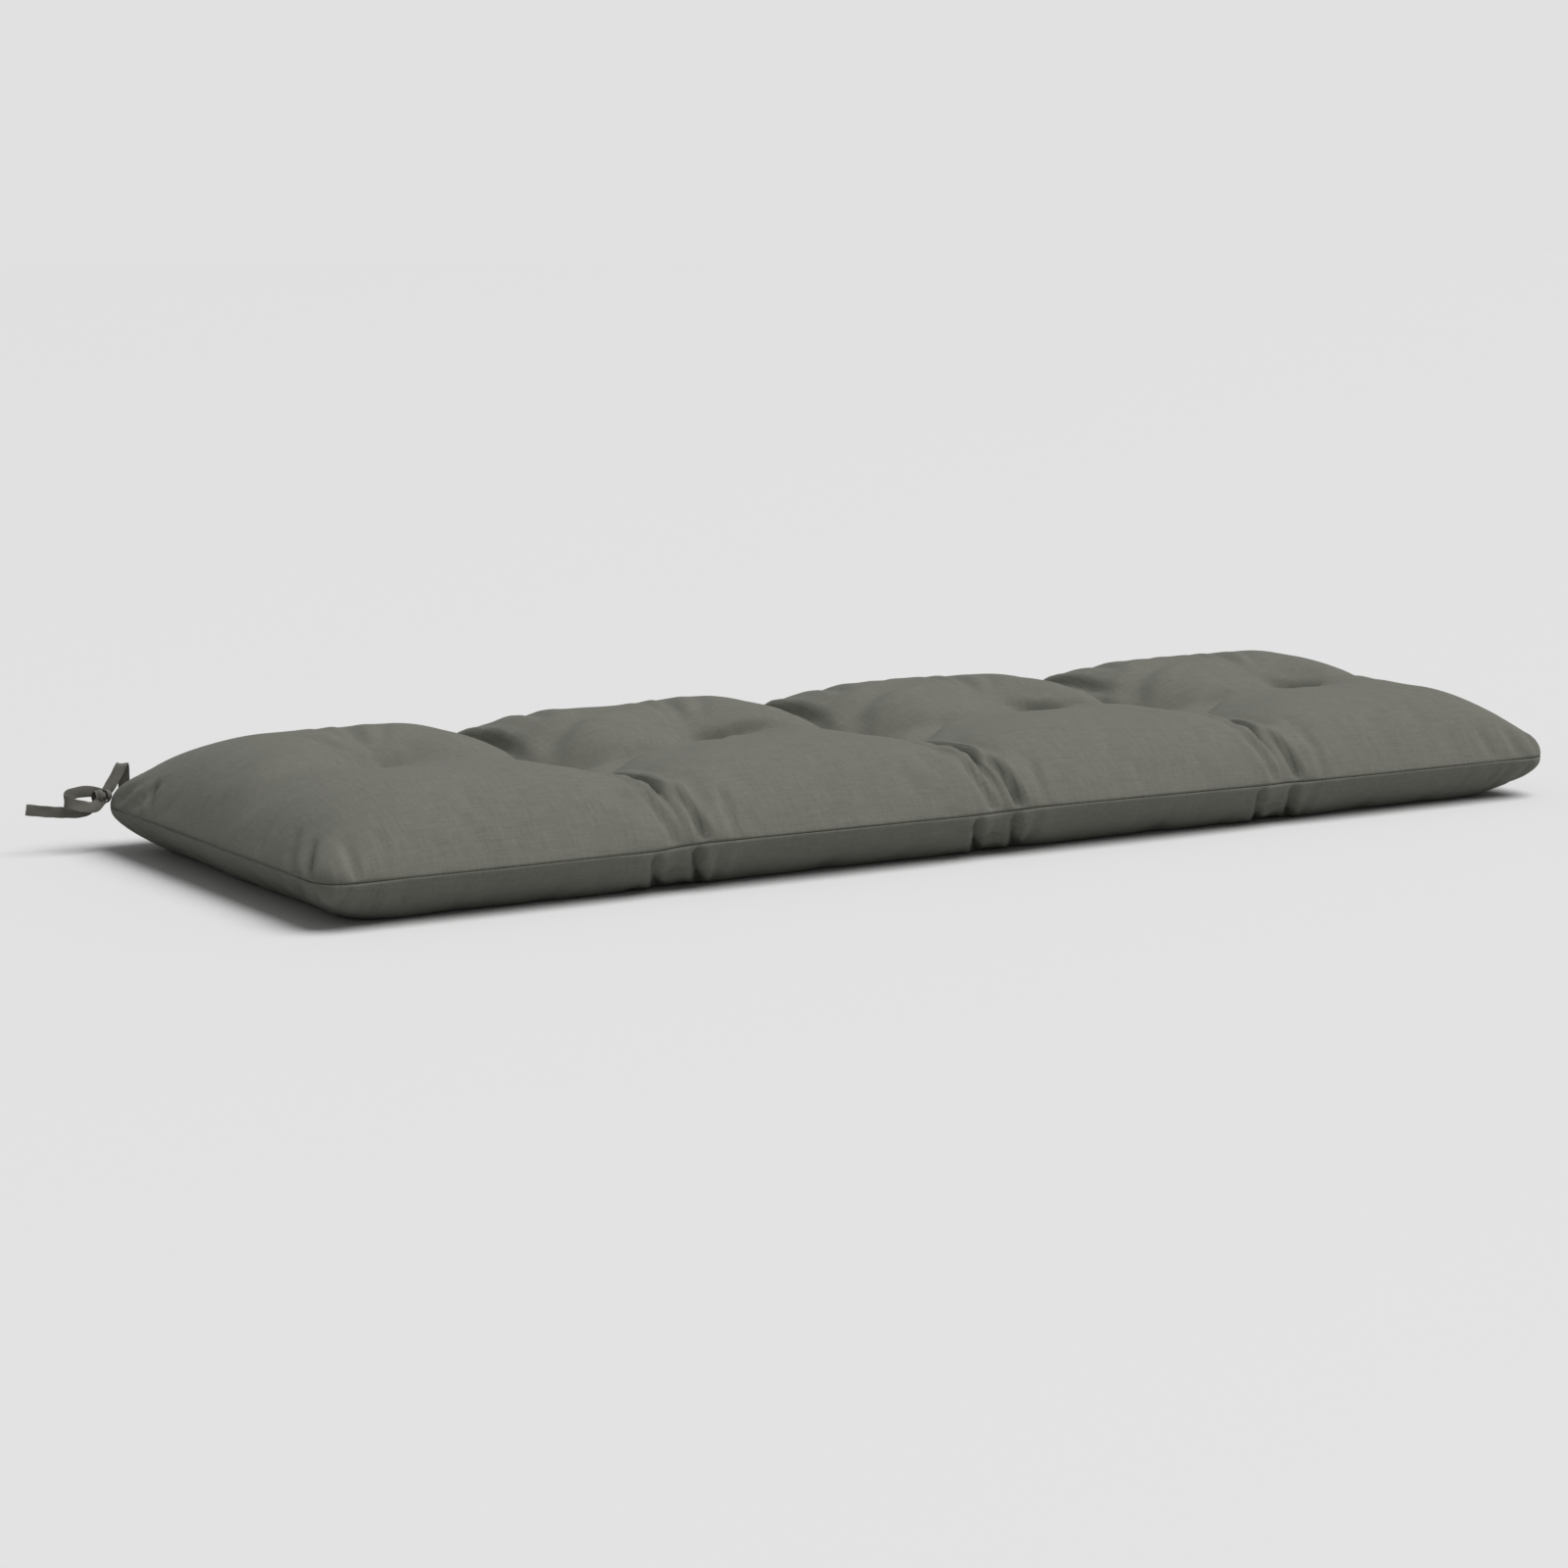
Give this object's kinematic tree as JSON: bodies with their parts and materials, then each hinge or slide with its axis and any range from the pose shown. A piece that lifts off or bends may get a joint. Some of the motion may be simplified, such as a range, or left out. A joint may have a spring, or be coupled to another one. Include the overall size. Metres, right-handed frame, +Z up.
{
  "type": "bench cushion",
  "caption": "Long flat filled bench cushion with puffed sections between stitched cross channels, tufted through the middle, with tape ties at the back corners.",
  "frame": {"origin": "on the resting plane, under the middle of the cushion", "axes": "+X along the length to the right, +Y towards the back edge that carries the ties, +Z up"},
  "size_m": [1.538, 0.5008, 0.1177],
  "materials": {
    "cushion_cloth": "plain weave melange polyester cloth, dark grey with a slight olive cast, matt",
    "tie_tape": "flat woven narrow tape in the cushion's colour, matt"
  },
  "bodies": {
    "root": {"cushion": "cushion_cloth", "tie_left": "tie_tape", "tie_right": "tie_tape"}
  },
  "joints": []
}
